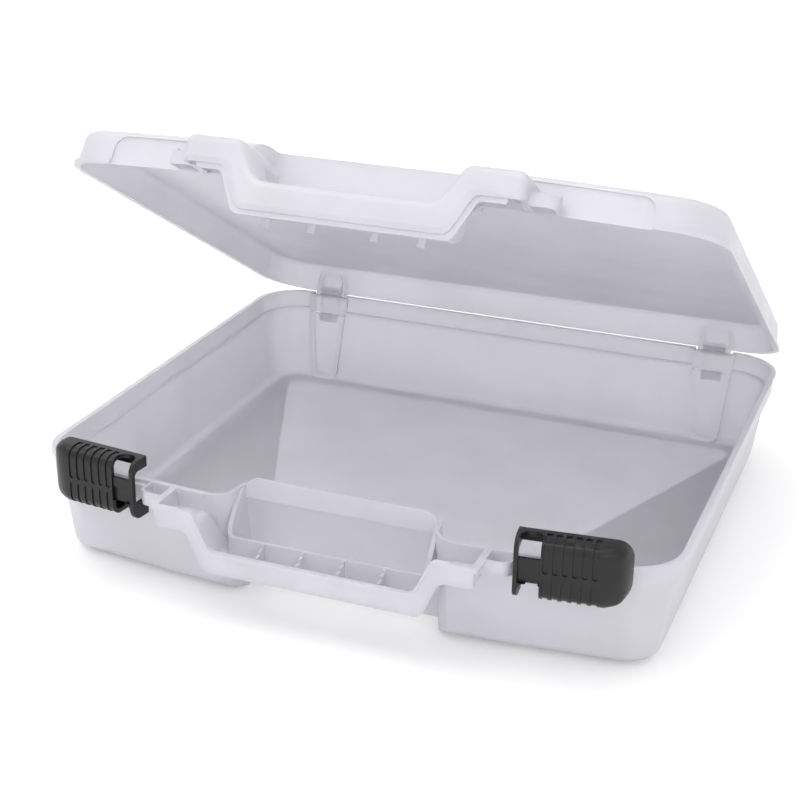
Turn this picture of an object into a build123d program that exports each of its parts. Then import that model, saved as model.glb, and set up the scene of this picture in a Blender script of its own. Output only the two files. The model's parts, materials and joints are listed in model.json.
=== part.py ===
"""Craft carrying case: deep tray, shallow lid and two sliding latches.

Millimetres, Z up, front toward -Y, foot on Z = 0.  The shells are modelled
closed; the lid is then swung open about its rear hinge for the rest pose.
"""
import os
from math import atan, atan2, cos, degrees, radians, sin, sqrt

from build123d import *

# Case body
WIDTH = 381.0
BODY_DEPTH = 331.5          # rear wall to the front corners
FRONT_BOW = 10.7            # the front bulges this much at mid width
CORNER_R = 31.0
PARTING_Z = 66.5            # height of the seam between tray and lid
LID_HEIGHT = 20.4
SEAM_GAP = 0.4              # tray rim to lid rim, closed
WALL = 2.0

# Tray
FOOT_HEIGHT = 2.5
FOOT_INSET = 12.0
BAND_HEIGHT = 13.5          # upright band below the rim
BAND_INSET = 1.5
BEAD_HEIGHT = 2.5           # rim bead, flush with the full outline
STEP_INSET = 4.5            # tapered wall just under the band
FLOOR_INSET = 11.0          # tapered wall at the floor
FLOOR_EDGE_R = 7.0
FLOOR_INNER_R = 5.0

# Lid
LID_WALL = 2.4
ROOF_INSET = 4.0
ROOF_EDGE_R = 5.0
PANEL_INSET = 24.0          # raised panel on the roof
PANEL_RISE = 0.8
STRIP_DEPTH = 1.2           # shallow strips the latches slide in front of
STRIP_OUTER_X = 154.3
STRIP_TOP_DROP = 3.4
STRIP_CORNER_R = 8.0

# Recess behind the handle
RECESS_HALF = 58.9
RECESS_Y = -153.5           # tray recess face at the seam
RECESS_DRAFT = 12.0         # it leans back this much down to the floor
LID_RECESS_CLEARANCE = 0.5  # lid recess face behind the tray collar
LID_RECESS_DRAFT = 2.5
MOUTH_R = 14.5
MOUTH_LAP = 0.8             # the mouth rounding meets the front at a slight angle
RECESS_CORNER_R = 3.5

# Handle
HANDLE_FRONT_Y = -195.8
HANDLE_WALL = 2.0
SHOULDER_HALF = 94.8
SHOULDER_BOTTOM_Z = 53.4
GRIP_SEAM_Z = 44.3
GRIP_BOTTOM_Z = 30.7
GRIP_TOP_Z = 60.7
FINGER_HALF = 57.4
FINGER_FRONT_Y = -174.3
COLLAR_HALF = 60.0
COLLAR_TOP_Z = 71.2
COLLAR_CORNER_R = 12.0
COLLAR_WALL = 2.0
FINGER_CORNER_R = 4.0       # plan rounding of the finger opening's front corners
SHOULDER_TOP_Z = 81.9
HANDLE_EDGE_R = 4.5         # rounding along the top of the lid's handle half
HANDLE_BEAD = 1.0           # rim flange on the tray's handle half
HANDLE_BEAD_HEIGHT = 2.8
FLANGE_REACH = 12.0
BEAD_OVERHANG = 2.0         # the flange stands out this much at the shoulder ends
BAND_RUN = 3.2              # slanted band along the lower edge of the lid's half
BAND_RISE = 2.8
BAND_DEPTH = 1.2
TONGUE_DROP = 2.6           # lip that drops inside the tray's half
TONGUE_RUN = 2.0
TONGUE_WALL = 1.4
TONGUE_END_X = 86.5
TONGUE_CLEARANCE = 0.3
GRIP_RIB_X = (-36.0, -12.0, 12.0, 36.0)
GRIP_RIB_THICKNESS = 1.6
PEG_X = (-43.5, -17.8, 17.8, 43.5)
PEG_R = 2.2
PEG_DROP = 6.4
WALL_RIB_X = (-30.0, 0.0, 30.0)

# Latch bay: a frame on the bowed front, x along the slide, -y outward
BAY_X = 134.0
LATCH_LENGTH = 62.5
LATCH_TRAVEL = 13.5
LATCH_REST_START = -24.7    # inner end of the latch in the bay frame
LATCH_BACK = 0.8
LATCH_FRONT = 15.5
LATCH_BOTTOM_Z = 54.5
LATCH_TOP_Z = 79.5
LATCH_WALL = 2.5
LATCH_FRONT_R = 6.5
LATCH_END_R = 9.0
LATCH_PLAN_R = 6.0
CAVITY_END_R = 3.0
RING_WIDTH = 2.2            # ring at the inner end, beside the window
SILL_Z = 68.5
SILL_DEPTH = 1.3
LIP_DEPTH = 2.2
SLIDE_CLEARANCE = 0.4
WINDOW_LENGTH = 14.0        # open bay at the inner end, passes over the loops
GROOVE_FIRST = 18.4
GROOVE_PITCH = 5.15
GROOVE_COUNT = 6
GROOVE_WIDTH = 3.1
GROOVE_DEPTH = 0.7
GROOVE_UPPER_Z = 68.3
GROOVE_LOWER_Z = 63.0
RAIL_HEAD_THICKNESS = 2.6
RAIL_WEB = 2.4
LOOP_LENGTH = 13.0
LOOP_DEPTH = 12.3
LOOP_WALL = 1.6
LOOP_END_R = 6.0
LOOP_BOTTOM_Z = 58.4        # underside of the tray's loop
LOOP_TOP_Z = 73.8           # top of the lid's loop
LOOP_GAP = 1.5              # loop end to the open latch

# Rear hinge
HINGE_X = 144.0
HINGE_OFFSET = 0.5          # axis behind the rear outline
KNUCKLE_R = 4.0
KNUCKLE_HALF = 7.0
ARM_GAP = 0.4
ARM_WIDTH = 3.6
PIN_R = 2.2
PIN_CLEARANCE = 0.06
PIN_REACH = 5.0
POCKET_DEPTH = 3.0
POCKET_TOP_HALF = 13.5
POCKET_BOTTOM_HALF = 7.5
POCKET_FLOOR_Z = 6.0
ARCH_HEIGHT = 12.6
REST_OPEN_DEG = 30.0

TRAY_TOP = PARTING_Z - SEAM_GAP / 2
LID_BOTTOM = PARTING_Z + SEAM_GAP / 2
LID_TOP = PARTING_Z + LID_HEIGHT
BAND_BOTTOM = PARTING_Z - BAND_HEIGHT
HINGE_Y = BODY_DEPTH / 2 + HINGE_OFFSET
CORNER_X = WIDTH / 2 - CORNER_R
CORNER_Y = BODY_DEPTH / 2 - CORNER_R
BOW_ANGLE = 2 * atan(FRONT_BOW / CORNER_X)
BOW_REACH = CORNER_X / sin(BOW_ANGLE)
BOW_CENTRE_Y = -CORNER_Y + BOW_REACH * cos(BOW_ANGLE)
FAR = 400.0


def front_y(x, inset=0.0):
    """Y of the bowed front at x."""
    reach = BOW_REACH + CORNER_R - inset
    return BOW_CENTRE_Y - sqrt(reach ** 2 - x ** 2)


def at(points, z):
    return [(x, y, z) for x, y in points]


def outline(inset, z):
    """Plan of the case moved in by inset: rounded corners and a bowed front."""
    r = CORNER_R - inset
    side, back = WIDTH / 2 - inset, BODY_DEPTH / 2 - inset
    k = r * sqrt(0.5)
    turn = (radians(90) - BOW_ANGLE) / 2
    touch = (CORNER_X + r * sin(BOW_ANGLE), -CORNER_Y - r * cos(BOW_ANGLE))
    bend = (CORNER_X + r * cos(turn), -CORNER_Y - r * sin(turn))
    edges = [
        Edge.make_line(*at([(side, -CORNER_Y), (side, CORNER_Y)], z)),
        Edge.make_three_point_arc(*at([(side, CORNER_Y), (CORNER_X + k, CORNER_Y + k), (CORNER_X, back)], z)),
        Edge.make_line(*at([(CORNER_X, back), (-CORNER_X, back)], z)),
        Edge.make_three_point_arc(
            *at([(-CORNER_X, back), (-CORNER_X - k, CORNER_Y + k), (-side, CORNER_Y)], z)),
        Edge.make_line(*at([(-side, CORNER_Y), (-side, -CORNER_Y)], z)),
        Edge.make_three_point_arc(*at([(-side, -CORNER_Y), (-bend[0], bend[1]), (-touch[0], touch[1])], z)),
        Edge.make_three_point_arc(*at([(-touch[0], touch[1]), (0, front_y(0, inset)), touch], z)),
        Edge.make_three_point_arc(*at([touch, bend, (side, -CORNER_Y)], z)),
    ]
    return Wire(edges)


def tapered(inset_low, z_low, inset_high, z_high):
    return Solid.make_loft([outline(inset_low, z_low), outline(inset_high, z_high)], ruled=True)


def recess_plan(grow, rear_y, z, taper=0.0):
    """Plan of the notch behind the handle, its mouth rounded onto the front wall."""
    xs, rm, rc = RECESS_HALF + grow, MOUTH_R - grow, RECESS_CORNER_R + grow
    mouth_x = RECESS_HALF + MOUTH_R
    mouth_y = front_y(mouth_x, BAND_INSET) + MOUTH_R + taper - MOUTH_LAP
    rear = rear_y + grow
    k, c = rm * sqrt(0.5), rc * sqrt(0.5)
    right = [
        ("line", (mouth_x, mouth_y - 60), (mouth_x, mouth_y - rm)),
        ("arc", (mouth_x, mouth_y - rm), (mouth_x - k, mouth_y - k), (xs, mouth_y)),
        ("line", (xs, mouth_y), (xs, rear - rc)),
        ("arc", (xs, rear - rc), (xs - rc + c, rear - rc + c), (xs - rc, rear)),
    ]
    edges = []
    for kind, *pts in right:
        make = Edge.make_line if kind == "line" else Edge.make_three_point_arc
        edges.append(make(*at(pts, z)))
    edges.append(Edge.make_line(*at([(xs - rc, rear), (rc - xs, rear)], z)))
    for kind, *pts in reversed(right):
        make = Edge.make_line if kind == "line" else Edge.make_three_point_arc
        edges.append(make(*at([(-x, y) for x, y in reversed(pts)], z)))
    edges.append(Edge.make_line(*at([(-mouth_x, mouth_y - 60), (mouth_x, mouth_y - 60)], z)))
    return Wire(edges)


def tray_recess(grow):
    """Drafted notch through the tray front; grow gives the cavity side of its wall."""
    slope = RECESS_DRAFT / PARTING_Z
    low, high = -5.0, COLLAR_TOP_Z + 10
    taper = (FLOOR_INSET - BAND_INSET) / PARTING_Z
    wires = [recess_plan(grow, RECESS_Y + slope * (PARTING_Z - z), z, taper * max(PARTING_Z - z, 0))
             for z in (low, PARTING_Z)]
    top = extrude(Face(recess_plan(grow, RECESS_Y, PARTING_Z)), high - PARTING_Z, dir=(0, 0, 1))
    return Solid.make_loft(wires, ruled=True) + top


def lid_recess(grow):
    rear = RECESS_Y + COLLAR_WALL + LID_RECESS_CLEARANCE
    low, high = PARTING_Z - 10, LID_TOP + 10
    slope = LID_RECESS_DRAFT / LID_HEIGHT
    wires = [recess_plan(grow + 1.1, rear - 1.1 + slope * (z - PARTING_Z), z) for z in (low, high)]
    return Solid.make_loft(wires, ruled=True)


def rounded_face(plane, points, radii):
    """Face through the points on the plane, each corner given its own radius."""
    face = plane * make_face(Polyline(*points, close=True))
    for (x, y), r in zip(points, radii):
        if r > 0:
            corner = face.vertices().sort_by_distance(plane.from_local_coords((x, y, 0)))[0]
            face = fillet(corner, r)
    return face


def front_prism(points, radii, y_front, y_back):
    """Front-view shape (X, Z) swept between two Y planes."""
    plane = Plane(origin=(0, y_back, 0), x_dir=(1, 0, 0), z_dir=(0, -1, 0))
    return extrude(rounded_face(plane, points, radii), y_back - y_front)


def side_prism(points, x_low, x_high):
    """Side-view shape (Y, Z) swept between two X planes."""
    plane = Plane(origin=(x_low, 0, 0), x_dir=(0, 1, 0), z_dir=(1, 0, 0))
    return extrude(plane * make_face(Polyline(*points, close=True)), x_high - x_low)


def block(x0, x1, y0, y1, z0, z1):
    return Pos((x0 + x1) / 2, (y0 + y1) / 2, (z0 + z1) / 2) * Box(x1 - x0, y1 - y0, z1 - z0)


def both_sides(solid):
    return solid + mirror(solid, about=Plane.YZ)


# Handle profiles, right half, from the centre outward
SEAM_PATH = [(58.8, GRIP_SEAM_Z), (69.5, PARTING_Z), (SHOULDER_HALF, PARTING_Z)]
SEAM_RADII = [6.0, 5.0, 0.0]
LOWER_PATH = [(63.5, GRIP_BOTTOM_Z), (73.8, SHOULDER_BOTTOM_Z), (SHOULDER_HALF, SHOULDER_BOTTOM_Z)]
LOWER_RADII = [7.0, 5.0, 3.0]
UPPER_PATH = [(50.5, GRIP_TOP_Z), (62.0, SHOULDER_TOP_Z), (SHOULDER_HALF, SHOULDER_TOP_Z)]
UPPER_RADII = [9.0, 7.0, 5.0]


def band_between(low, low_radii, high, high_radii, low_shift=0.0, high_shift=0.0):
    """Symmetric closed front-view shape between two right-half paths."""
    lo = [(x, z + low_shift) for x, z in low]
    hi = [(x, z + high_shift) for x, z in high]
    points = lo + hi[::-1] + [(-x, z) for x, z in hi] + [(-x, z) for x, z in lo[::-1]]
    radii = low_radii + high_radii[::-1] + high_radii + low_radii[::-1]
    return points, radii


def grown(path, dx, dz):
    return [(x + dx, z + dz) for x, z in path]


def finger_prism(half, front, corner_r):
    """Upright prism of the finger opening, its front corners rounded in plan."""
    prism = block(-half, half, front, RECESS_Y + 14, -10, 200)
    return fillet(prism.edges().filter_by(Axis.Z).group_by(Axis.Y)[0], corner_r)


def collar_side(lift):
    """Side walls of the collar: from the low rim at the grip up to the recess wall."""
    back = RECESS_Y + COLLAR_WALL + lift
    front = FINGER_FRONT_Y - HANDLE_WALL - lift
    plane = Plane(origin=(FINGER_HALF - 2 * FINGER_CORNER_R, 0, 0), x_dir=(0, 1, 0), z_dir=(1, 0, 0))
    low, high = GRIP_SEAM_Z + lift, COLLAR_TOP_Z - 3 + lift
    rise = ThreePointArc((front + 2.5, low), (RECESS_Y - 13 - lift, PARTING_Z - 11.5 + lift), (RECESS_Y, high))
    rest = Polyline((RECESS_Y, high), (back, high), (back, low - 12), (front, low - 12), (front, low),
                    (front + 2.5, low))
    profile = plane * make_face(rise + rest)
    return extrude(profile, COLLAR_HALF + lift + 2 * FINGER_CORNER_R - FINGER_HALF)


def handle_hollow(low, low_radii, high, high_radii, body):
    """Inside of a handle half, leaving the wall round the finger opening."""
    points, radii = band_between(low, low_radii, high, high_radii)
    hollow = front_prism(points, radii, HANDLE_FRONT_Y + HANDLE_WALL, RECESS_Y + 8)
    wall = finger_prism(COLLAR_HALF, FINGER_FRONT_Y - HANDLE_WALL, FINGER_CORNER_R + HANDLE_WALL)
    return hollow - wall - body


# Latch bay parts
BAY_ANGLE = atan2(BAY_X, BOW_CENTRE_Y - front_y(BAY_X))
BAY = Location((BAY_X, front_y(BAY_X), 0), (0, 0, degrees(BAY_ANGLE)))
LOOP_END = LATCH_REST_START - LOOP_GAP
CAVITY_BOTTOM = LATCH_BOTTOM_Z + LATCH_WALL
CAVITY_TOP = LATCH_TOP_Z - LATCH_WALL
CAVITY_FRONT = LATCH_FRONT - LATCH_WALL
HEAD_BACK = LATCH_BACK + LIP_DEPTH + SLIDE_CLEARANCE
WEB_BOTTOM = CAVITY_BOTTOM + 4.0
LEDGE_BOTTOM = TRAY_TOP + SLIDE_CLEARANCE


def latch_section():
    """Closed outer shape of the latch in its (outward, Z) section."""
    plane = Plane(origin=(0, 0, 0), x_dir=(0, -1, 0), z_dir=(-1, 0, 0))
    points = [(LATCH_BACK, LATCH_BOTTOM_Z), (LATCH_FRONT, LATCH_BOTTOM_Z),
              (LATCH_FRONT, LATCH_TOP_Z), (LATCH_BACK, LATCH_TOP_Z)]
    return rounded_face(plane, points, [3.5, LATCH_FRONT_R, LATCH_FRONT_R, 2.0])


def end_rounded(length, front, bottom, top, r_front, r_plan):
    """Block whose outer end is rounded in front view and in plan."""
    points = [(-1, bottom), (length, bottom), (length, top), (-1, top)]
    end = front_prism(points, [0, r_front, r_front, 0], -front, 5)
    plan = rounded_face(Plane.XY, [(-1, -front), (length, -front), (length, 5), (-1, 5)], [0, r_plan, 0, 0])
    return end & extrude(plan, 200)


def thumb_grooves(section):
    """Two rows of shallow round-ended grooves that run over the latch's front edges."""
    skin = extrude(section, LATCH_LENGTH, dir=(1, 0, 0))
    skin -= extrude(offset(section, -GROOVE_DEPTH), LATCH_LENGTH, dir=(1, 0, 0))
    skin &= block(0, LATCH_LENGTH, -FAR, -LATCH_BACK - 1.5, 0, 200)
    half = GROOVE_WIDTH / 2
    rows = None
    for i in range(GROOVE_COUNT):
        x = GROOVE_FIRST + i * GROOVE_PITCH
        for z0, z1, radii in ((GROOVE_UPPER_Z, 100, [1, 1, 0, 0]), (0, GROOVE_LOWER_Z, [0, 0, 1, 1])):
            points = [(x - half, z0), (x + half, z0), (x + half, z1), (x - half, z1)]
            slot = front_prism(points, [r * (half - 0.05) for r in radii], -FAR / 4, 0)
            rows = slot if rows is None else rows + slot
    return skin & rows


def latch_body():
    """Right latch in the bay frame, inner end at x = 0."""
    section = latch_section()
    body = extrude(section, LATCH_LENGTH, dir=(1, 0, 0))
    body &= end_rounded(LATCH_LENGTH, LATCH_FRONT, LATCH_BOTTOM_Z, LATCH_TOP_Z, LATCH_END_R, LATCH_PLAN_R)
    body -= thumb_grooves(section)
    body -= end_rounded(LATCH_LENGTH - LATCH_WALL, CAVITY_FRONT, CAVITY_BOTTOM, CAVITY_TOP,
                        CAVITY_END_R, CAVITY_END_R)
    end = LATCH_LENGTH - LATCH_WALL
    lip = block(WINDOW_LENGTH, end - 1, -LATCH_BACK - LIP_DEPTH, -LATCH_BACK,
                CAVITY_BOTTOM - 0.5, WEB_BOTTOM - SLIDE_CLEARANCE)
    ledge = block(WINDOW_LENGTH, end - 3, -CAVITY_FRONT - 0.5, -HEAD_BACK,
                  LEDGE_BOTTOM, LEDGE_BOTTOM + LATCH_WALL)
    body += lip + ledge
    x0, x1 = RING_WIDTH, WINDOW_LENGTH
    window = front_prism([(x0, SILL_Z), (x1, SILL_Z), (x1, CAVITY_TOP + 0.2), (x0, CAVITY_TOP + 0.2)],
                         [0.8, 0.8, 5.0, 5.0], -LATCH_FRONT - 2, -CAVITY_FRONT + 2)
    sill = side_prism([(-LATCH_FRONT - 2, SILL_Z - 10.5), (-LATCH_FRONT + SILL_DEPTH, SILL_Z - 10.5),
                       (-LATCH_FRONT + SILL_DEPTH, SILL_Z - 4.2), (-CAVITY_FRONT - 0.3, SILL_Z + 0.2),
                       (-LATCH_FRONT - 2, SILL_Z + 0.2)], x0, x1)
    a0, a1, arch_z = x0 + 0.4, x1 - 0.5, CAVITY_BOTTOM + 0.8
    arch = front_prism([(a0, 0), (a1, 0), (a1, arch_z), (a0, arch_z)], [0, 0, 1.0, 3.0], -FAR / 4, 5)
    return body - window - sill - arch


def loop(z_low, z_high, open_top):
    """Hollow tab beside the shoulder, in the bay frame."""
    start = -(BAY_X - SHOULDER_HALF) / cos(BAY_ANGLE) - BEAD_OVERHANG - 3.0
    end = LOOP_END - LOOP_WALL
    front = -LOOP_DEPTH
    points = [(start, 2), (start, front), (LOOP_END, front), (LOOP_END, 2)]
    outer = rounded_face(Plane.XY, points, [0, 0, LOOP_END_R, 0])
    front += LOOP_WALL
    points = [(start, 0.5), (start, front), (end, front), (end, 0.5)]
    inner = rounded_face(Plane.XY, points, [0, 0, LOOP_END_R - LOOP_WALL, 0])
    low = z_low + LOOP_WALL if open_top else z_low - 1
    high = z_high + 1 if open_top else z_high - LOOP_WALL
    return (BAY * extrude(Pos(0, 0, z_low) * outer, z_high - z_low),
            BAY * extrude(Pos(0, 0, low) * inner, high - low))


def rail():
    """Headed rail the latch rides on, in the bay frame."""
    stop = LATCH_REST_START - LATCH_TRAVEL + LATCH_LENGTH - LATCH_WALL - 2.7
    head = block(LOOP_END - 1.0, stop, -HEAD_BACK - RAIL_HEAD_THICKNESS, -HEAD_BACK,
                 CAVITY_BOTTOM + SLIDE_CLEARANCE, TRAY_TOP)
    web = block(LOOP_END - 1.0, stop, -HEAD_BACK - 0.5, 4.0, WEB_BOTTOM, WEB_BOTTOM + RAIL_WEB)
    return BAY * (head + web)


# Tray
def tray_body(extra=0.0):
    wall = tapered(FLOOR_INSET + extra, FOOT_HEIGHT, STEP_INSET + extra, BAND_BOTTOM)
    wall = fillet(wall.faces().sort_by(Axis.Z)[0].edges(), FLOOR_EDGE_R)
    band = tapered(BAND_INSET + extra, BAND_BOTTOM, BAND_INSET + extra, TRAY_TOP)
    return wall + band


def make_tray():
    bead = tapered(0, TRAY_TOP - BEAD_HEIGHT, 0, TRAY_TOP)
    foot = tapered(FLOOR_INSET + FOOT_INSET + 1.5, 0, FLOOR_INSET + FOOT_INSET, FOOT_HEIGHT + 0.5)
    body = tray_body() + bead + foot - tray_recess(0)

    side_x = SHOULDER_HALF - BEAD_OVERHANG
    low = LOWER_PATH[:-1] + [(side_x - 0.8, SHOULDER_BOTTOM_Z)]
    high = SEAM_PATH[:-1] + [(side_x, PARTING_Z)]
    points, radii = band_between(low, LOWER_RADII, high, SEAM_RADII, 0, -SEAM_GAP / 2)
    handle = front_prism(points, radii, HANDLE_FRONT_Y, RECESS_Y + 8)
    edge = grown(SEAM_PATH, 0, -HANDLE_BEAD_HEIGHT)
    points, radii = band_between(edge, SEAM_RADII, SEAM_PATH, SEAM_RADII, 0, -SEAM_GAP / 2)
    flange = front_prism(points, radii, HANDLE_FRONT_Y - HANDLE_BEAD, HANDLE_FRONT_Y + FLANGE_REACH)

    t = HANDLE_WALL
    low = grown(LOWER_PATH[:-1], -1.4, t) + [(side_x - t, SHOULDER_BOTTOM_Z + t)]
    high = [(50.0, LID_TOP), (60.0, LID_TOP), (side_x - t, LID_TOP)]
    hollow = handle_hollow(low, [5.0, 5.0, 1.0], high, [0, 0, 0], body)

    opening = finger_prism(FINGER_HALF, FINGER_FRONT_Y, FINGER_CORNER_R)
    around = finger_prism(COLLAR_HALF, FINGER_FRONT_Y - t, FINGER_CORNER_R + t)
    x, z = COLLAR_HALF, COLLAR_TOP_Z
    points = [(-x, -10), (x, -10), (x, z), (-x, z)]
    silhouette = front_prism(points, [0, 0, COLLAR_CORNER_R, COLLAR_CORNER_R], -FAR, RECESS_Y + COLLAR_WALL)
    collar = both_sides(collar_side(0)) & silhouette & (around - opening)
    collar += silhouette & block(-x, x, RECESS_Y, RECESS_Y + COLLAR_WALL, PARTING_Z - 8, 200)

    tray = body + handle + flange - hollow - (opening - body) + collar

    outer, inner = loop(LOOP_BOTTOM_Z, TRAY_TOP, True)
    shell = tray_body()
    tray += both_sides(outer - block(0, side_x - t / 2, -FAR, 0, 0, 200)) + both_sides(rail())
    tray -= both_sides(inner - block(0, SHOULDER_HALF, -FAR, 0, -10, 200) - shell)

    ledge_z = BAND_BOTTOM + WALL
    cavity = tapered(FLOOR_INSET + WALL, FOOT_HEIGHT + WALL, STEP_INSET + WALL, ledge_z)
    cavity = fillet(cavity.faces().sort_by(Axis.Z)[0].edges(), FLOOR_INNER_R)
    cavity += tapered(BAND_INSET + WALL, ledge_z, BAND_INSET + WALL, PARTING_Z + 20)
    tray -= (cavity - tray_recess(WALL)) - block(-COLLAR_HALF, COLLAR_HALF, -FAR, RECESS_Y + COLLAR_WALL,
                                                 PARTING_Z - 1, 200)

    tray += both_sides(hinge_pocket(WALL) & (tray_body(WALL / 2) - tray_body(POCKET_DEPTH + WALL)))
    tray -= both_sides(hinge_pocket(0) - tray_body(POCKET_DEPTH))
    for x in GRIP_RIB_X:
        tray += grip_rib(x)
    tray += both_sides(knuckle())
    bore = Cylinder(PIN_R + PIN_CLEARANCE, 2 * KNUCKLE_HALF + 4, rotation=(0, 90, 0))
    return tray - both_sides(Pos(HINGE_X, HINGE_Y, PARTING_Z) * bore)


def grip_rib(x):
    """Stepped web across the grip channel."""
    y0, y1 = FINGER_FRONT_Y - HANDLE_WALL + 0.5, HANDLE_FRONT_Y + HANDLE_WALL - 0.5
    top, floor = GRIP_SEAM_Z - SEAM_GAP, GRIP_BOTTOM_Z + HANDLE_WALL - 0.5
    steps = [(y0, floor), (y0, top)]
    fall, run, count = 1.9, (y0 - 2 - y1) / 4, 4
    y, z = y0 - 2, top
    for _ in range(count):
        steps += [(y, z), (y, z - fall)]
        y, z = y - run, z - fall
    steps += [(y1, z), (y1, floor)]
    return side_prism(steps, x - GRIP_RIB_THICKNESS / 2, x + GRIP_RIB_THICKNESS / 2)


def hinge_pocket(grow):
    """Tapered U on the rear wall that frees the lid's hinge arms."""
    top, low = POCKET_TOP_HALF + grow, POCKET_BOTTOM_HALF + grow
    floor_z = POCKET_FLOOR_Z - grow
    points = [(HINGE_X - top, PARTING_Z + 5), (HINGE_X - low, floor_z),
              (HINGE_X + low, floor_z), (HINGE_X + top, PARTING_Z + 5)]
    prism = front_prism(points, [0, 6.0, 6.0, 0], 100, 200)
    return prism - block(0, FAR, 0, FAR, TRAY_TOP, 200) if grow else prism


def knuckle():
    """Tray half of a hinge: barrel on a web standing in the pocket."""
    y, z, r = HINGE_Y, PARTING_Z, KNUCKLE_R
    wall_y = BODY_DEPTH / 2 - STEP_INSET - POCKET_DEPTH
    web = side_prism([(wall_y, z - 20), (wall_y + 3.0, z - 2.5), (y, z), (y + r * 0.8, z - r * 0.6)],
                     HINGE_X - KNUCKLE_HALF, HINGE_X + KNUCKLE_HALF)
    barrel = Pos(HINGE_X, y, z) * Cylinder(r, 2 * KNUCKLE_HALF, rotation=(0, 90, 0))
    return web + barrel


# Lid, modelled closed
def lid_body(extra=0.0):
    shell = tapered(BAND_INSET + extra, LID_BOTTOM, ROOF_INSET + extra, LID_TOP)
    return fillet(shell.faces().sort_by(Axis.Z)[-1].edges(), ROOF_EDGE_R)


def make_lid():
    bead = tapered(0, LID_BOTTOM, 0, LID_BOTTOM + BEAD_HEIGHT)
    bead -= block(-STRIP_OUTER_X, STRIP_OUTER_X, -FAR, 0, 0, 200)
    panel = tapered(PANEL_INSET, LID_TOP - 0.5, PANEL_INSET + 1.0, LID_TOP + PANEL_RISE)
    body = lid_body() + bead + panel
    strip = front_prism(
        [(SHOULDER_HALF - 6, 0), (STRIP_OUTER_X, 0), (STRIP_OUTER_X, LID_TOP - STRIP_TOP_DROP),
         (SHOULDER_HALF - 6, LID_TOP - STRIP_TOP_DROP)], [0, 0, STRIP_CORNER_R, 0], -FAR, 0)
    core = tapered(BAND_INSET + STRIP_DEPTH, LID_BOTTOM, ROOF_INSET + STRIP_DEPTH, LID_TOP)
    body -= both_sides(strip - core)
    body -= lid_recess(0)

    handle = lid_handle()
    t = HANDLE_WALL
    low = [(50.0, -10.0), (60.0, -10.0), (SHOULDER_HALF - t, -10.0)]
    high = grown(UPPER_PATH[:-1], 1.2, -t) + [(SHOULDER_HALF - t, SHOULDER_TOP_Z - t)]
    hollow = handle_hollow(low, [0, 0, 0], high, [9.0, 5.0, 1.0], body)
    opening = finger_prism(FINGER_HALF, FINGER_FRONT_Y, FINGER_CORNER_R)
    around = finger_prism(COLLAR_HALF + SEAM_GAP, FINGER_FRONT_Y - t - SEAM_GAP, FINGER_CORNER_R + t + SEAM_GAP)
    lid = body + handle - hollow - (opening - body) - (both_sides(collar_side(SEAM_GAP)) & around)
    outer, inner = loop(LID_BOTTOM, LOOP_TOP_Z, False)
    lid += both_sides(outer) + both_sides(BAY * loop_bar())
    front = block(-COLLAR_HALF - 1, COLLAR_HALF + 1, -FAR, 0, 0, LID_BOTTOM)
    lid -= (tray_body(-SEAM_GAP) - tray_recess(-SEAM_GAP)) & front
    lid -= block(-COLLAR_HALF - 1, COLLAR_HALF + 1, RECESS_Y - SEAM_GAP, 0, 0, LID_BOTTOM)
    shell = lid_body()
    lid -= both_sides(inner - block(0, SHOULDER_HALF, -FAR, 0, -10, 200) - shell)
    lid += tongue()

    inner_low = BAND_INSET + LID_WALL
    cavity = tapered(inner_low, LID_BOTTOM, ROOF_INSET + LID_WALL, LID_TOP - WALL)
    cavity = fillet(cavity.faces().sort_by(Axis.Z)[-1].edges(), ROOF_EDGE_R - 1)
    cavity += tapered(inner_low, LID_BOTTOM - 5, inner_low, LID_BOTTOM)
    lid -= (cavity - lid_recess(LID_WALL))

    lid += both_sides(hinge_arch(WALL) & (lid_body(WALL / 2) - lid_body(POCKET_DEPTH + WALL)))
    lid -= both_sides(hinge_arch(0) - lid_body(POCKET_DEPTH))
    lid += both_sides(hinge_arms())
    for x in PEG_X:
        lid += Pos(x, (HANDLE_FRONT_Y + FINGER_FRONT_Y) / 2, GRIP_SEAM_Z - PEG_DROP) * Cylinder(
            PEG_R, GRIP_TOP_Z - 1 - GRIP_SEAM_Z + PEG_DROP, align=(Align.CENTER, Align.CENTER, Align.MIN))
    for x in WALL_RIB_X:
        face_y = RECESS_Y + COLLAR_WALL + LID_RECESS_CLEARANCE
        rib_y = face_y + LID_RECESS_DRAFT + 0.2
        lid += block(x - 0.8, x + 0.8, rib_y, rib_y + 3.0, COLLAR_TOP_Z + 1, LID_TOP - 4)
    return lid


def seam_z(x):
    """Height of the handle seam at x."""
    (x0, z0), (x1, z1) = SEAM_PATH[:2]
    return z0 + (z1 - z0) * min(max((abs(x) - x0) / (x1 - x0), 0), 1)


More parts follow.
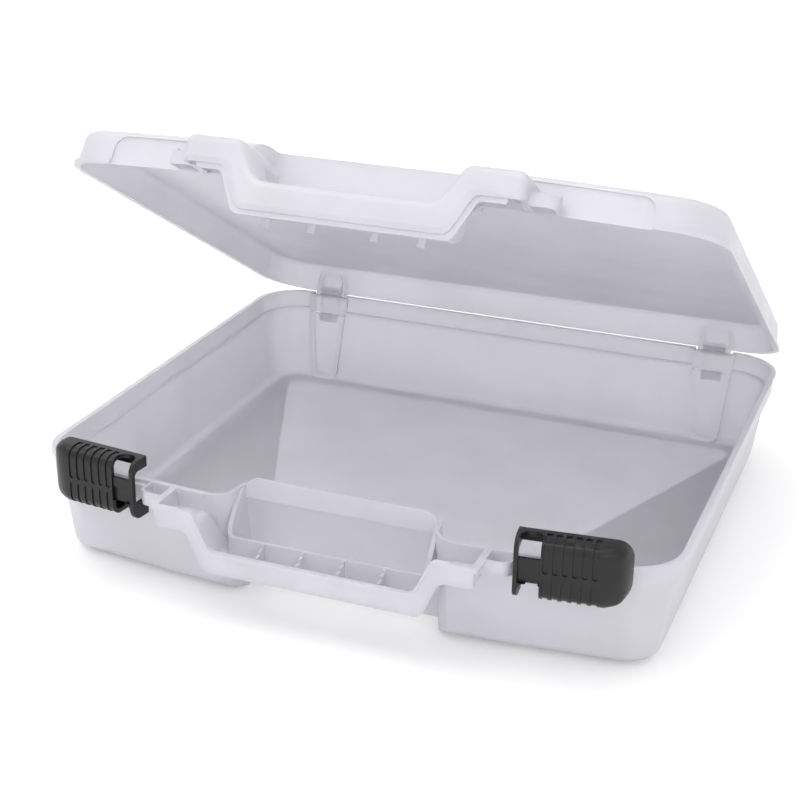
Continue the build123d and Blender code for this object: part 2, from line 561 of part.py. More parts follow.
def lid_handle():
    """Upper half of the handle, its lower edge slanted back and its top edge rounded."""
    edge = [(x - BAND_RUN, z + BAND_RISE) for x, z in SEAM_PATH[:-1]]
    edge += [(SHOULDER_HALF, PARTING_Z + BAND_RISE)]
    front_y = HANDLE_FRONT_Y
    wires = []
    for low, radii, y in ((edge, [3.0, 8.0, 0.0], front_y), (SEAM_PATH, SEAM_RADII, front_y + BAND_DEPTH)):
        points, corner_radii = band_between(low, radii, UPPER_PATH, UPPER_RADII, SEAM_GAP / 2, 0)
        plane = Plane(origin=(0, y, 0), x_dir=(1, 0, 0), z_dir=(0, -1, 0))
        wires.append(rounded_face(plane, points, corner_radii).faces()[0].outer_wire())
    points, corner_radii = band_between(SEAM_PATH, SEAM_RADII, UPPER_PATH, UPPER_RADII, SEAM_GAP / 2, 0)
    handle = front_prism(points, corner_radii, front_y + BAND_DEPTH, RECESS_Y + 8)
    handle += Solid.make_loft(wires, ruled=True)
    rim = [e for e in handle.faces().sort_by(Axis.Y)[0].edges() if e.center().Z > seam_z(e.center().X) + 11]
    return fillet(rim, HANDLE_EDGE_R)


def tongue():
    """Lip inside the lid's front edge that drops into the tray's half of the handle."""
    y = HANDLE_FRONT_Y + HANDLE_WALL + TONGUE_CLEARANCE
    root = grown(SEAM_PATH[:-1], -1.0, 1.5) + [(TONGUE_END_X, PARTING_Z + 1.5)]
    seam = SEAM_PATH[:-1] + [(TONGUE_END_X, PARTING_Z)]
    tip = grown(SEAM_PATH[:-1], TONGUE_RUN, -TONGUE_DROP) + [(TONGUE_END_X, PARTING_Z - TONGUE_DROP)]
    points, radii = band_between(tip, [6.5, 4.0, 1.5], root, [5.5, 5.5, 0])
    lip = front_prism(points, radii, y, y + TONGUE_WALL)
    points, radii = band_between(seam, SEAM_RADII, root, [5.5, 5.5, 0], SEAM_GAP / 2, 0)
    return lip + front_prism(points, radii, HANDLE_FRONT_Y + BAND_DEPTH + 0.3, y + TONGUE_WALL)


def loop_bar():
    """Upright rib at the end of the lid's loop, in the bay frame, and a shallow one on the front wall."""
    bar = block(LOOP_END - LOOP_WALL, LOOP_END, -LOOP_DEPTH + LOOP_END_R, 1.0, LID_BOTTOM,
                CAVITY_TOP - SLIDE_CLEARANCE - 0.1)
    return bar


def hinge_arch(grow):
    """Round-topped recess on the lid's rear wall around the tray knuckle."""
    half, top = KNUCKLE_HALF + ARM_GAP + 0.3 + grow, LID_BOTTOM + ARCH_HEIGHT + grow
    x0, x1 = HINGE_X - half, HINGE_X + half
    points = [(x0, LID_BOTTOM - 5), (x1, LID_BOTTOM - 5), (x1, top), (x0, top)]
    prism = front_prism(points, [0, 0, half - 0.5, half - 0.5], 100, 200)
    return prism - block(0, FAR, 0, FAR, 0, LID_BOTTOM) if grow else prism


def hinge_arms():
    """Two arms hanging from the lid, each with a stub pin into the tray knuckle."""
    y, z, r = HINGE_Y, PARTING_Z, KNUCKLE_R
    wall_y = BODY_DEPTH / 2 - BAND_INSET - 1.0
    arms = None
    for s in (-1, 1):
        arm_x = HINGE_X + s * (KNUCKLE_HALF + ARM_GAP)
        x0, x1 = sorted((arm_x, arm_x + s * ARM_WIDTH))
        web = side_prism([(wall_y - 1.0, LID_BOTTOM), (wall_y - 1.5, z + 12), (wall_y + 1.0, z + 12),
                          (y + r * 0.9, z + r * 0.45), (y + r * 0.9, z - r * 0.4), (y, z)], x0, x1)
        barrel = Pos((x0 + x1) / 2, y, z) * Cylinder(r, ARM_WIDTH, rotation=(0, 90, 0))
        p0, p1 = sorted((HINGE_X + s * (KNUCKLE_HALF - PIN_REACH), arm_x + s * 1.0))
        pin = Pos((p0 + p1) / 2, y, z) * Cylinder(PIN_R, p1 - p0, rotation=(0, 90, 0))
        arm = web + barrel + pin
        arms = arm if arms is None else arms + arm
    return arms


def opened(solid):
    """Swing a closed-position solid to the rest pose about the hinge axis."""
    axis = Axis((0, HINGE_Y, PARTING_Z), (1, 0, 0))
    return solid.rotate(axis, -REST_OPEN_DEG)


def save(name, solid):
    solids = solid.solids()
    if len(solids) != 1:
        print(name, "has", len(solids), "bodies:", [round(s.volume, 1) for s in solids])
    export_step(solid, os.path.join("parts", name + ".step"))
    box = solid.bounding_box()
    print(name, "volume", round(solid.volume), "box", [round(v, 1) for v in (*box.min, *box.max)])


def main():
    os.makedirs("parts", exist_ok=True)
    save("base_tray", make_tray())
    save("lid", opened(make_lid()))
    latch = BAY * (Pos(LATCH_REST_START, 0, 0) * latch_body())
    save("latch_right", latch)
    save("latch_left", mirror(latch, about=Plane.YZ))


main()
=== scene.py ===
"""Frosted carrying case: sleeve latches, finishes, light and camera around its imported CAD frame."""
import json
import math

import bpy
from mathutils import Matrix, Vector


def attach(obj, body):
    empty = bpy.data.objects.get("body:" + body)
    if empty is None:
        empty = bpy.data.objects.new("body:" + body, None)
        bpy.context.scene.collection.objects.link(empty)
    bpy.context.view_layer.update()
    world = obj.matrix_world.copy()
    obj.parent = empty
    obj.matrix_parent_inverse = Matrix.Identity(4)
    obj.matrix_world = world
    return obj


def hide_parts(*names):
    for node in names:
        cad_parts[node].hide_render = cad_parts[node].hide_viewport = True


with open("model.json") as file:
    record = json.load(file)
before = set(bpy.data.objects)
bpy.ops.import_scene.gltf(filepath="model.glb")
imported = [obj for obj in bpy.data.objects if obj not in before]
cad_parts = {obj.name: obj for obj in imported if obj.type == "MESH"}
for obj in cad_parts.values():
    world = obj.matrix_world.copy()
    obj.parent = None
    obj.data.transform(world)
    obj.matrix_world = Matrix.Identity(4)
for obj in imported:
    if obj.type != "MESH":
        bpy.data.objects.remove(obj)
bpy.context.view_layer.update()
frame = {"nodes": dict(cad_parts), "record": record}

bl_info = {
    "name": "Frosted carrying case",
    "version": (1, 0, 0),
    "blender": (4, 5, 0),
    "location": "View3D > Sidebar > Case",
    "description": "Makes the latches of the moulded carrying case, dresses it and sets its studio",
    "category": "Object",
}

MM = 0.001


def srgb(hex_code):
    """sRGB hex, such as D8D8DE, as linear red, green and blue."""
    values = [int(hex_code[i:i + 2], 16) / 255 for i in (0, 2, 4)]
    return tuple(v / 12.92 if v <= 0.04045 else ((v + 0.055) / 1.055) ** 2.4 for v in values)


def solid_colour(value):
    return (*value[:3], 1.0)


def length(name, description, value, low=None):
    """A length property, given in millimetres."""
    limits = {} if low is None else {"min": low * MM}
    return bpy.props.FloatProperty(
        name=name, description=description, unit="LENGTH", default=value * MM, **limits)


# ---------------------------------------------------------------------------
# Sizes and colours
# ---------------------------------------------------------------------------

class CaseFinish(bpy.types.PropertyGroup):
    """Colours and grain of the moulded plastics."""
    tray_colour: bpy.props.FloatVectorProperty(
        name="Tray colour", description="Tint of the frosted tray", subtype="COLOR",
        min=0.0, max=1.0, default=srgb("F5F4FA"))
    lid_colour: bpy.props.FloatVectorProperty(
        name="Lid colour", description="Tint of the frosted lid", subtype="COLOR",
        min=0.0, max=1.0, default=srgb("F6F5FB"))
    cloud_colour: bpy.props.FloatVectorProperty(
        name="Cloud colour", description="Slightly greyer tint where the resin flowed",
        subtype="COLOR", min=0.0, max=1.0, default=srgb("F0EFF4"))
    clarity: bpy.props.FloatProperty(
        name="Clarity", description="Share of light that passes through the frosted walls",
        subtype="FACTOR", min=0.0, max=1.0, default=0.50)
    cloud_size: bpy.props.FloatProperty(
        name="Cloud size", description="Width of the faint clouds in the resin", unit="LENGTH",
        min=0.001, default=45 * MM)
    frost_grain: bpy.props.FloatProperty(
        name="Frost grain", description="Width of a grain of the etched mould surface",
        unit="LENGTH", min=0.0001, default=0.7 * MM)
    latch_colour: bpy.props.FloatVectorProperty(
        name="Latch colour", description="Near black of the sliding latches", subtype="COLOR",
        min=0.0, max=1.0, default=srgb("100F0F"))
    latch_grain: bpy.props.FloatProperty(
        name="Latch grain", description="Width of a grain of the latch mould", unit="LENGTH",
        min=0.0001, default=0.5 * MM)


class CaseLatch(bpy.types.PropertyGroup):
    """Sizes of the sleeve latches, from the middle of a bay: along the front, outward and up."""
    bay_x: length("Bay side", "Middle of a latch bay from the case's middle", 134.0, 1.0)
    bay_y: length("Bay front", "Front wall at the middle of a bay", -169.1)
    inner_end: length("Inner end", "Latch's end beside the handle", -25.4)
    outer_end: length("Outer end", "Latch's rounded end at the case's corner", 34.4)
    back: length("Back", "Back of the sleeve from the wall", 1.5, 0.1)
    front: length("Front", "Front of the sleeve from the wall", 15.6, 1.0)
    bottom: length("Bottom", "Underside of the sleeve", 48.0, 1.0)
    top: length("Top", "Top of the sleeve", 83.2, 1.0)
    nose: length("Nose radius", "Rounding of the outer end in plan", 13.6, 0.5)
    edge: length("Edge radius", "Rounding of the long front edges", 6.5, 0.5)
    wall: length("Wall", "Wall of the sleeve", 2.6, 0.5)
    ring: length("Ring", "Width of the ring at the inner end", 2.2, 0.5)
    window: length("Window end", "End of the window from the ring's outside", 14.0, 3.0)
    sill: length("Sill", "Top of the bar under the window", 72.3, 1.0)
    ridge: length("Ridge", "Step in the bar under the window", 66.8, 1.0)
    notch: length("Notch", "Top of the notch under the bar", 57.9, 1.0)
    groove_first: length("First groove", "Middle of the first groove from the inner end", 16.7, 1.0)
    groove_pitch: length("Groove pitch", "From groove to groove", 5.08, 0.5)
    groove_width: length("Groove width", "Across a thumb groove", 3.2, 0.2)
    groove_depth: length("Groove depth", "Into the sleeve", 0.6, 0.05)
    grooves: bpy.props.IntProperty(
        name="Grooves", description="Thumb grooves in a row", min=1, default=6)


class CaseStudio(bpy.types.PropertyGroup):
    """Camera, floor and lamps."""
    camera_place: bpy.props.FloatVectorProperty(
        name="Camera place", description="Where the camera stands", subtype="XYZ", unit="LENGTH",
        default=(316.1 * MM, -888.6 * MM, 464.8 * MM))
    azimuth: bpy.props.FloatProperty(
        name="Azimuth", description="Camera turned round the case from its front",
        subtype="ANGLE", default=math.radians(20.97))
    elevation: bpy.props.FloatProperty(
        name="Elevation", description="Camera looking down on the case", subtype="ANGLE",
        default=math.radians(22.84))
    roll: bpy.props.FloatProperty(
        name="Roll", description="Slight roll of the camera", subtype="ANGLE",
        default=math.radians(1.01))
    field_of_view: bpy.props.FloatProperty(
        name="Field of view", description="Across the square picture", subtype="ANGLE",
        default=2 * math.atan(400 / 1621.3))    # half its width over the focal length, in pixels
    floor_size: bpy.props.FloatProperty(
        name="Floor size", description="Side of the pale floor", unit="LENGTH", min=1.0,
        default=12.0)
    floor_colour: bpy.props.FloatVectorProperty(
        name="Floor colour", description="White floor paper", subtype="COLOR",
        min=0.0, max=1.0, default=srgb("FAFAFA"))
    key_power: bpy.props.FloatProperty(
        name="Key lamp", description="Power of the large softbox above", unit="POWER",
        min=0.0, default=7.0)
    fill_power: bpy.props.FloatProperty(
        name="Fill lamp", description="Power of the softbox in front", unit="POWER",
        min=0.0, default=2.5)
    ambient: bpy.props.FloatProperty(
        name="Ambient", description="Strength of the even studio light", min=0.0, default=0.95)


# ---------------------------------------------------------------------------
# Materials
# ---------------------------------------------------------------------------

GRAIN_RELIEF = 0.05 * MM        # height of the mould's grain on both plastics

PP_IOR = 1.49                   # polypropylene
PP_ROUGHNESS = (0.34, 0.44)     # etched mould: broad, waxy sheen
PP_GRAIN_STRENGTH = 0.10
CLOUD_EDGE = (0.35, 0.65)       # noise values between which the resin's clouds fade

ABS_IOR = 1.46                  # a little under ABS's 1.53, which keeps the black deep
ABS_ROUGHNESS = (0.30, 0.42)    # lightly sparked mould: satin
ABS_GRAIN_STRENGTH = 0.2


def add_node(tree, kind, settings=None, **links):
    """Add a node, set its properties and sockets, and link the sockets given an output.

    A socket is named with underscores for spaces, or by its number, as in0.
    """
    node = tree.nodes.new(kind)
    for key, value in (settings or {}).items():
        setattr(node, key, value)
    for key, value in links.items():
        numbered = key.startswith("in")
        socket = node.inputs[int(key[2:]) if numbered else key.replace("_", " ")]
        if isinstance(value, bpy.types.NodeSocket):
            tree.links.new(value, socket)
        else:
            socket.default_value = value
    return node


def new_material(name):
    material = bpy.data.materials.new(name)
    material.use_nodes = True
    tree = material.node_tree
    tree.nodes.clear()
    return material, tree


def frosted_polypropylene(name, tint, finish):
    """Injection-moulded natural polypropylene with an etched face.

    The resin itself is milky, so light passes but shapes blur; the etch kills
    sharp reflections and leaves a broad waxy sheen.
    """
    material, tree = new_material(name)
    place = add_node(tree, "ShaderNodeTexCoord").outputs["Object"]
    cloud = add_node(tree, "ShaderNodeTexNoise", {},
                     Vector=place, Scale=1 / finish.cloud_size, Detail=2.0)
    blend = add_node(tree, "ShaderNodeMapRange", {}, Value=cloud.outputs["Fac"],
                     From_Min=CLOUD_EDGE[0], From_Max=CLOUD_EDGE[1])
    colour = add_node(tree, "ShaderNodeMix", {"data_type": "RGBA"}, in0=blend.outputs["Result"],
                      in6=solid_colour(tint), in7=solid_colour(finish.cloud_colour))
    rough = add_node(tree, "ShaderNodeMapRange", {}, Value=cloud.outputs["Fac"],
                     To_Min=PP_ROUGHNESS[0], To_Max=PP_ROUGHNESS[1])
    grain = add_node(tree, "ShaderNodeTexNoise", {},
                     Vector=place, Scale=1 / finish.frost_grain, Detail=1.0)
    bump = add_node(tree, "ShaderNodeBump", {}, Height=grain.outputs["Fac"],
                    Strength=PP_GRAIN_STRENGTH, Distance=GRAIN_RELIEF)
    shader = add_node(tree, "ShaderNodeBsdfPrincipled", {}, Base_Color=colour.outputs[2],
                      Roughness=rough.outputs["Result"], IOR=PP_IOR,
                      Transmission_Weight=finish.clarity, Normal=bump.outputs["Normal"])
    add_node(tree, "ShaderNodeOutputMaterial", {}, Surface=shader.outputs["BSDF"])
    return material


def black_satin_abs(name, finish):
    """Black ABS from a lightly sparked mould: deep black with a soft, wide highlight."""
    material, tree = new_material(name)
    place = add_node(tree, "ShaderNodeTexCoord").outputs["Object"]
    grain = add_node(tree, "ShaderNodeTexNoise", {},
                     Vector=place, Scale=1 / finish.latch_grain, Detail=2.0)
    rough = add_node(tree, "ShaderNodeMapRange", {}, Value=grain.outputs["Fac"],
                     To_Min=ABS_ROUGHNESS[0], To_Max=ABS_ROUGHNESS[1])
    bump = add_node(tree, "ShaderNodeBump", {}, Height=grain.outputs["Fac"],
                    Strength=ABS_GRAIN_STRENGTH, Distance=GRAIN_RELIEF)
    shader = add_node(tree, "ShaderNodeBsdfPrincipled", {},
                      Base_Color=solid_colour(finish.latch_colour),
                      Roughness=rough.outputs["Result"], IOR=ABS_IOR,
                      Normal=bump.outputs["Normal"])
    add_node(tree, "ShaderNodeOutputMaterial", {}, Surface=shader.outputs["BSDF"])
    return material


# ---------------------------------------------------------------------------
# Tray and lid
# ---------------------------------------------------------------------------

def finish_node(node_name, material):
    """Give a CAD node its finish."""
    node = frame["nodes"][node_name]
    node.data.materials.clear()
    node.data.materials.append(material)


class CASE_OT_tray(bpy.types.Operator):
    """Finish the deep tray with frosted polypropylene"""
    bl_idname = "case.tray"
    bl_label = "Tray"

    def execute(self, context):
        finish = context.scene.case_finish
        material = frosted_polypropylene("frosted_tray_pp", finish.tray_colour, finish)
        finish_node("base_tray", material)
        return {"FINISHED"}


class CASE_OT_lid(bpy.types.Operator):
    """Finish the hinged lid with frosted polypropylene"""
    bl_idname = "case.lid"
    bl_label = "Lid"

    def execute(self, context):
        finish = context.scene.case_finish
        material = frosted_polypropylene("frosted_lid_pp", finish.lid_colour, finish)
        finish_node("lid", material)
        return {"FINISHED"}


# ---------------------------------------------------------------------------
# Sleeve latches
# ---------------------------------------------------------------------------

# A sleeve is made in its bay's frame: x along the front towards the corner, y
# towards the wall, z up, with the wall at y = 0. Depths are from the wall
# outwards and heights are over the table.
PAST = 5 * MM                   # how far a cutting tool reaches past the sleeve
LAP = 1 * MM                    # how far two cuts reach into each other

# Rounding of the outer end, as shares of the nose radius in plan.
NOSE_TOP = 0.65
NOSE_BOTTOM = 0.9
NOSE_INSIDE = 0.65              # the same corner, inside the cavity
NOSE_INSIDE_ENDS = 0.8          # its top and bottom, as a share of the radius inside

END_WALL = 1.2 * MM             # behind the rounded end, so that the rail's end clears it
BACK_WALL = 1.7 * MM
CAVITY_EDGE = 3.5 * MM

SLOT_BOTTOM = 56.5 * MM         # slot along the back, in which the rail and the loops run
SLOT_TOP = 76.8 * MM
SLOT_DEPTH = 3 * MM             # from the sleeve's back into the cavity

GATE_FRONT = 12.8 * MM          # opening in the ring, through which the loops pass
GATE_BOTTOM = 57.6 * MM
GATE_TOP_EDGE = 3 * MM
GATE_BOTTOM_EDGE = 1 * MM

FOOT_FRONT = 6.0 * MM           # lower, shallower part of that opening, for the rail
FOOT_BOTTOM = 54.5 * MM
FOOT_TOP = 60 * MM
FOOT_EDGE = 3 * MM

WINDOW_BACK = 3.2 * MM          # wall left behind the window
WINDOW_EDGE = 5.5 * MM
BAR_SETBACK = 0.9 * MM          # bar under the window, behind the sleeve's front
BAR_LOWER_SETBACK = 2.0 * MM    # its lower part, under the ridge
NOTCH_INNER_EDGE = 4.5 * MM
NOTCH_OUTER_EDGE = 0.8 * MM
NOTCH_SHORTER = 0.2 * MM        # notch ends before the window does

UPPER_GROOVE_END = 65.2 * MM    # lower end of the upper grooves
UPPER_GROOVE_BACK = 3.6 * MM    # how near the sleeve's back they start
LOWER_GROOVE_END = 62.6 * MM    # upper end of the lower grooves
LOWER_GROOVE_BACK = 7.0 * MM
GROOVE_ROUND = 0.97             # rounding of a groove's end, as a share of half its width

EDGE_BREAK = 0.35 * MM          # small bevel on every sharp edge
SHARP = math.radians(40)
SMOOTH = math.radians(32)

ROUND_STEPS = 10                # facets in a rounding
GROOVE_STEPS = 6                # facets in the rounding of a groove's end

SIDES = {"inner": (0, 0), "outer": (0, 1), "front": (1, 0), "back": (1, 1),
         "bottom": (2, 0), "top": (2, 1)}
ON_SIDE = 1e-6                  # an edge's middle this near a side lies on it


def apply_modifier(obj, kind, **settings):
    modifier = obj.modifiers.new(kind.lower(), kind)
    for key, value in settings.items():
        setattr(modifier, key, value)
    bpy.context.view_layer.objects.active = obj
    bpy.ops.object.modifier_apply(modifier=modifier.name)


def make_only_selection(obj):
    bpy.ops.object.select_all(action="DESELECT")
    obj.select_set(True)
    bpy.context.view_layer.objects.active = obj


def round_box(name, low, high, radii, segments=ROUND_STEPS):
    """A box between two corners, with a radius on each edge that two of its sides name."""
    bpy.ops.object.select_all(action="DESELECT")
    size = [h - l for l, h in zip(low, high)]
    middle = [(l + h) / 2 for l, h in zip(low, high)]
    bpy.ops.mesh.primitive_cube_add(size=1, location=middle, scale=size)
    obj = bpy.context.object
    obj.name = name
    bpy.ops.object.transform_apply(location=True, rotation=True, scale=True)
    if not radii:
        return obj
    corners = (low, high)
    widest = max(radii.values())
    weights = obj.data.attributes.new("bevel_weight_edge", "FLOAT", "EDGE")
    for edge in obj.data.edges:
        start, end = (obj.data.vertices[i].co for i in edge.vertices)
        centre = (start + end) / 2
        for pair, radius in radii.items():
            places = [(axis, corners[which][axis]) for axis, which in map(SIDES.get, pair)]
            if all(abs(centre[axis] - place) < ON_SIDE for axis, place in places):
                weights.data[edge.index].value = radius / widest
    apply_modifier(obj, "BEVEL", limit_method="WEIGHT", width=widest, segments=segments)
    return obj


def cut(body, tool):
    """Take the tool's solid out of the body."""
    apply_modifier(body, "BOOLEAN", operation="DIFFERENCE", solver="EXACT", object=tool)
    bpy.data.objects.remove(tool, do_unlink=True)


def sleeve_blank(latch):
    """The sleeve's rounded outside, with its cavity, the slot along its back and the gate."""
    blank = round_box(
        "latch",
        (latch.inner_end, -latch.front, latch.bottom),
        (latch.outer_end, -latch.back, latch.top),
        {("outer", "front"): latch.nose,
         ("outer", "top"): latch.nose * NOSE_TOP,
         ("outer", "bottom"): latch.nose * NOSE_BOTTOM,
         ("front", "top"): latch.edge,
         ("front", "bottom"): latch.edge})
    start = latch.inner_end + latch.ring
    end = latch.outer_end - END_WALL
    inside = latch.nose * NOSE_INSIDE
    cut(blank, round_box(
        "cavity",
        (start, latch.wall - latch.front, latch.bottom + latch.wall),
        (end, -latch.back - BACK_WALL, latch.top - latch.wall),
        {("outer", "front"): inside,
         ("outer", "top"): inside * NOSE_INSIDE_ENDS,
         ("outer", "bottom"): inside * NOSE_INSIDE_ENDS,
         ("front", "top"): CAVITY_EDGE,
         ("front", "bottom"): CAVITY_EDGE}))
    cut(blank, round_box(
        "slot", (start, -latch.back - SLOT_DEPTH, SLOT_BOTTOM), (end, PAST, SLOT_TOP), {}))
    gate_start, gate_end = latch.inner_end - LAP, start + LAP
    cut(blank, round_box(
        "gate", (gate_start, -GATE_FRONT, GATE_BOTTOM), (gate_end, PAST, SLOT_TOP),
        {("front", "top"): GATE_TOP_EDGE, ("front", "bottom"): GATE_BOTTOM_EDGE}))
    cut(blank, round_box(
        "gate_foot", (gate_start, -FOOT_FRONT, FOOT_BOTTOM), (gate_end, PAST, FOOT_TOP),
        {("front", "bottom"): FOOT_EDGE}))
    return blank


def open_bay(latch, blank):
    """Window over the top, stepped bar below it and notch in the underside, beside the ring."""
    start, end = latch.inner_end + latch.ring, latch.inner_end + latch.window
    in_front = -latch.front - PAST
    cut(blank, round_box(
        "window",
        (start, in_front, latch.sill), (end, -latch.back - WINDOW_BACK, latch.top + PAST),
        {("inner", "back"): WINDOW_EDGE, ("outer", "back"): WINDOW_EDGE}))
    for setback, top in ((BAR_SETBACK, latch.sill + LAP), (BAR_LOWER_SETBACK, latch.ridge)):
        cut(blank, round_box(
            "bar", (start, in_front, latch.notch), (end, setback - latch.front, top), {}))
    cut(blank, round_box(
        "notch",
        (start, in_front, latch.bottom - PAST), (end - NOTCH_SHORTER, PAST, latch.notch),
        {("inner", "top"): NOTCH_INNER_EDGE, ("outer", "top"): NOTCH_OUTER_EDGE}))


def groove_tools(latch):
    """One round-ended bar for each groove, over the top and under the bottom edge."""
    half = latch.groove_width / 2
    rows = ((UPPER_GROOVE_END, latch.top + PAST, UPPER_GROOVE_BACK, "bottom"),
            (latch.bottom - PAST, LOWER_GROOVE_END, LOWER_GROOVE_BACK, "top"))
    tools = []
    for i in range(latch.grooves):
        x = latch.inner_end + latch.groove_first + i * latch.groove_pitch
        for low, high, back, end in rows:
            tools.append(round_box(
                "groove",
                (x - half, -latch.front - PAST, low), (x + half, -latch.back - back, high),
                {("inner", end): half * GROOVE_ROUND, ("outer", end): half * GROOVE_ROUND},
                GROOVE_STEPS))
    return tools


def thumb_grooves(latch, blank):
    """Shallow round-ended channels in two rows, which follow the sleeve's rounded edges."""
    tools = groove_tools(latch)
    bpy.ops.object.select_all(action="DESELECT")
    for tool in tools:
        tool.select_set(True)
    bpy.context.view_layer.objects.active = tools[0]
    bpy.ops.object.join()
    rows = bpy.context.object
    deep = latch.groove_depth
    core = round_box(
        "core",
        (latch.inner_end - PAST, deep - latch.front, latch.bottom + deep),
        (latch.outer_end + PAST, PAST, latch.top - deep),
        {("front", "top"): latch.edge - deep, ("front", "bottom"): latch.edge - deep})
    cut(rows, core)
    cut(blank, rows)


def place_in_bay(latch, sleeve):
    """Turn the sleeve along its slide and set it in the right bay, with its place in its mesh."""
    slide = next(joint for joint in frame["record"]["behaviour"]["joints"]
                 if joint["name"] == "latch_right_slide")
    turn = math.atan2(-slide["axis"][1], -slide["axis"][0])
    place = Matrix.Translation((latch.bay_x, latch.bay_y, 0))
    sleeve.matrix_world = place @ Matrix.Rotation(turn, 4, "Z")
    make_only_selection(sleeve)
    bpy.ops.object.transform_apply(location=True, rotation=True, scale=True)


def mirrored_copy():
    """A copy of the active piece on the case's other side, with its faces outwards."""
    bpy.ops.object.duplicate()
    mirrored = bpy.context.object
    mirrored.scale.x = -1
    bpy.ops.object.transform_apply(location=True, rotation=True, scale=True)
    bpy.ops.object.mode_set(mode="EDIT")
    bpy.ops.mesh.select_all(action="SELECT")
    bpy.ops.mesh.normals_make_consistent(inside=False)
    bpy.ops.object.mode_set(mode="OBJECT")
    return mirrored


class CASE_OT_latches(bpy.types.Operator):
    """Make the sliding sleeve latches and finish them with black satin ABS"""
    bl_idname = "case.latches"
    bl_label = "Latches"

    def execute(self, context):
        latch = context.scene.case_latch
        sleeve = sleeve_blank(latch)
        open_bay(latch, sleeve)
        thumb_grooves(latch, sleeve)
        apply_modifier(sleeve, "BEVEL", limit_method="ANGLE", angle_limit=SHARP,
                       width=EDGE_BREAK, segments=2)
        place_in_bay(latch, sleeve)
        bpy.ops.object.shade_smooth_by_angle(angle=SMOOTH)
        material = black_satin_abs("black_satin_abs", context.scene.case_finish)
        sleeve.data.materials.append(material)
        mirrored = mirrored_copy()
        for piece, node in ((sleeve, "latch_right"), (mirrored, "latch_left")):
            piece.name = node.replace("latch", "sleeve_latch")
            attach(piece, node)
            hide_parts(node)
        return {"FINISHED"}


# ---------------------------------------------------------------------------
# Studio
# ---------------------------------------------------------------------------

KEY_SOFTBOX = {"place": (-0.35, -0.25, 1.35), "target": (0, 0, 0), "size": (1.4, 1.2)}
FRONT_SOFTBOX = {"place": (0.7, -1.5, 0.8), "target": (0, 0, 0.05), "size": (1.2, 0.8)}
FLOOR_GLOW = 0.12               # whitens the floor where it is seen, and lights nothing


def add_camera(studio):
    data = bpy.data.cameras.new("studio_camera")
    data.sensor_fit = "HORIZONTAL"
    data.angle = studio.field_of_view
    camera = bpy.data.objects.new("studio_camera", data)
    bpy.context.scene.collection.objects.link(camera)
    turn = (Matrix.Rotation(studio.azimuth, 3, "Z")
            @ Matrix.Rotation(math.pi / 2 - studio.elevation, 3, "X")
            @ Matrix.Rotation(studio.roll, 3, "Z"))
    camera.rotation_euler = turn.to_euler()
    camera.location = studio.camera_place
    bpy.context.scene.camera = camera


def add_lamp(name, power, place, target, size):
    data = bpy.data.lights.new(name, "AREA")
    data.shape = "RECTANGLE"
    data.size, data.size_y = size
    data.energy = power
    lamp = bpy.data.objects.new(name, data)
    bpy.context.scene.collection.objects.link(lamp)
    lamp.location = place
    lamp.rotation_euler = (Vector(target) - Vector(place)).to_track_quat("-Z", "Y").to_euler()


def seen_directly(tree):
    """1 for camera, glossy and transmission rays, which show the white background."""
    path = add_node(tree, "ShaderNodeLightPath")
    first = add_node(tree, "ShaderNodeMath", {"operation": "MAXIMUM"},
                     in0=path.outputs["Is Camera Ray"], in1=path.outputs["Is Glossy Ray"])
    both = add_node(tree, "ShaderNodeMath", {"operation": "MAXIMUM"},
                    in0=first.outputs[0], in1=path.outputs["Is Transmission Ray"])
    return both.outputs[0]


def add_world(studio):
    world = bpy.data.worlds.new("studio_world")
    world.use_nodes = True
    tree = world.node_tree
    tree.nodes.clear()
    strength = add_node(tree, "ShaderNodeMapRange", {}, Value=seen_directly(tree),
                        To_Min=studio.ambient, To_Max=1.0)
    light = add_node(tree, "ShaderNodeBackground", {}, Color=(1, 1, 1, 1),
                     Strength=strength.outputs["Result"])
    add_node(tree, "ShaderNodeOutputWorld", {}, Surface=light.outputs["Background"])
    bpy.context.scene.world = world


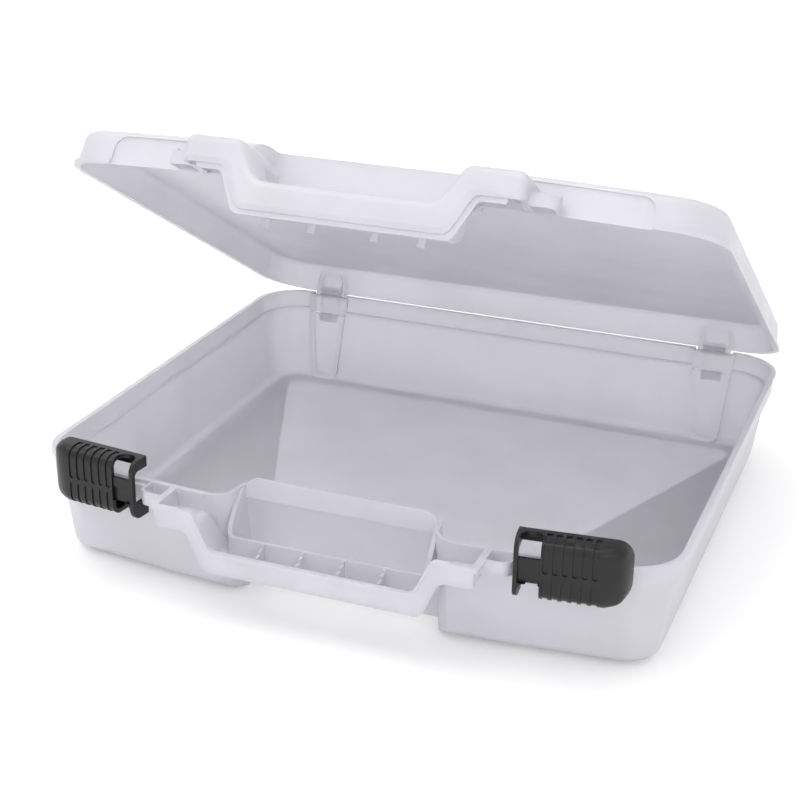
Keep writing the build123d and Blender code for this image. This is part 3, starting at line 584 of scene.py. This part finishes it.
def add_floor(studio):
    bpy.ops.object.select_all(action="DESELECT")
    bpy.ops.mesh.primitive_plane_add(size=studio.floor_size, location=(0, 0, 0))
    floor = bpy.context.object
    floor.name = "floor"
    material, tree = new_material("white_floor_paper")
    paper = add_node(tree, "ShaderNodeBsdfDiffuse", {}, Color=solid_colour(studio.floor_colour))
    glow = add_node(tree, "ShaderNodeEmission", {}, Color=(1, 1, 1, 1), Strength=FLOOR_GLOW)
    lit = add_node(tree, "ShaderNodeAddShader", {}, in0=paper.outputs[0], in1=glow.outputs[0])
    mix = add_node(tree, "ShaderNodeMixShader", {}, in0=seen_directly(tree),
                   in1=paper.outputs[0], in2=lit.outputs[0])
    add_node(tree, "ShaderNodeOutputMaterial", {}, Surface=mix.outputs[0])
    floor.data.materials.append(material)


class CASE_OT_studio(bpy.types.Operator):
    """Set the white floor, soft lamps and camera"""
    bl_idname = "case.studio"
    bl_label = "Studio"

    def execute(self, context):
        studio = context.scene.case_studio
        add_camera(studio)
        add_world(studio)
        add_floor(studio)
        add_lamp("key_softbox", studio.key_power, **KEY_SOFTBOX)
        add_lamp("front_softbox", studio.fill_power, **FRONT_SOFTBOX)
        context.scene.view_settings.view_transform = "Standard"
        return {"FINISHED"}


# ---------------------------------------------------------------------------
# Add-on
# ---------------------------------------------------------------------------

class CASE_PT_panel(bpy.types.Panel):
    """Lists the pieces of the case and its studio"""
    bl_label = "Carrying case"
    bl_space_type = "VIEW_3D"
    bl_region_type = "UI"
    bl_category = "Case"

    def draw(self, context):
        scene = context.scene
        for operator in OPERATORS:
            self.layout.operator(operator.bl_idname)
        for group in (scene.case_finish, scene.case_latch, scene.case_studio):
            box = self.layout.box()
            for name in group.__annotations__:
                box.prop(group, name)


OPERATORS = (CASE_OT_tray, CASE_OT_lid, CASE_OT_latches, CASE_OT_studio)
CLASSES = (CaseFinish, CaseLatch, CaseStudio, *OPERATORS, CASE_PT_panel)


def register():
    for cls in CLASSES:
        bpy.utils.register_class(cls)
    bpy.types.Scene.case_finish = bpy.props.PointerProperty(type=CaseFinish)
    bpy.types.Scene.case_latch = bpy.props.PointerProperty(type=CaseLatch)
    bpy.types.Scene.case_studio = bpy.props.PointerProperty(type=CaseStudio)


def unregister():
    del bpy.types.Scene.case_studio
    del bpy.types.Scene.case_latch
    del bpy.types.Scene.case_finish
    for cls in reversed(CLASSES):
        bpy.utils.unregister_class(cls)


def main():
    register()
    bpy.ops.case.tray()
    bpy.ops.case.lid()
    bpy.ops.case.latches()
    bpy.ops.case.studio()


if __name__ == "__main__":
    main()
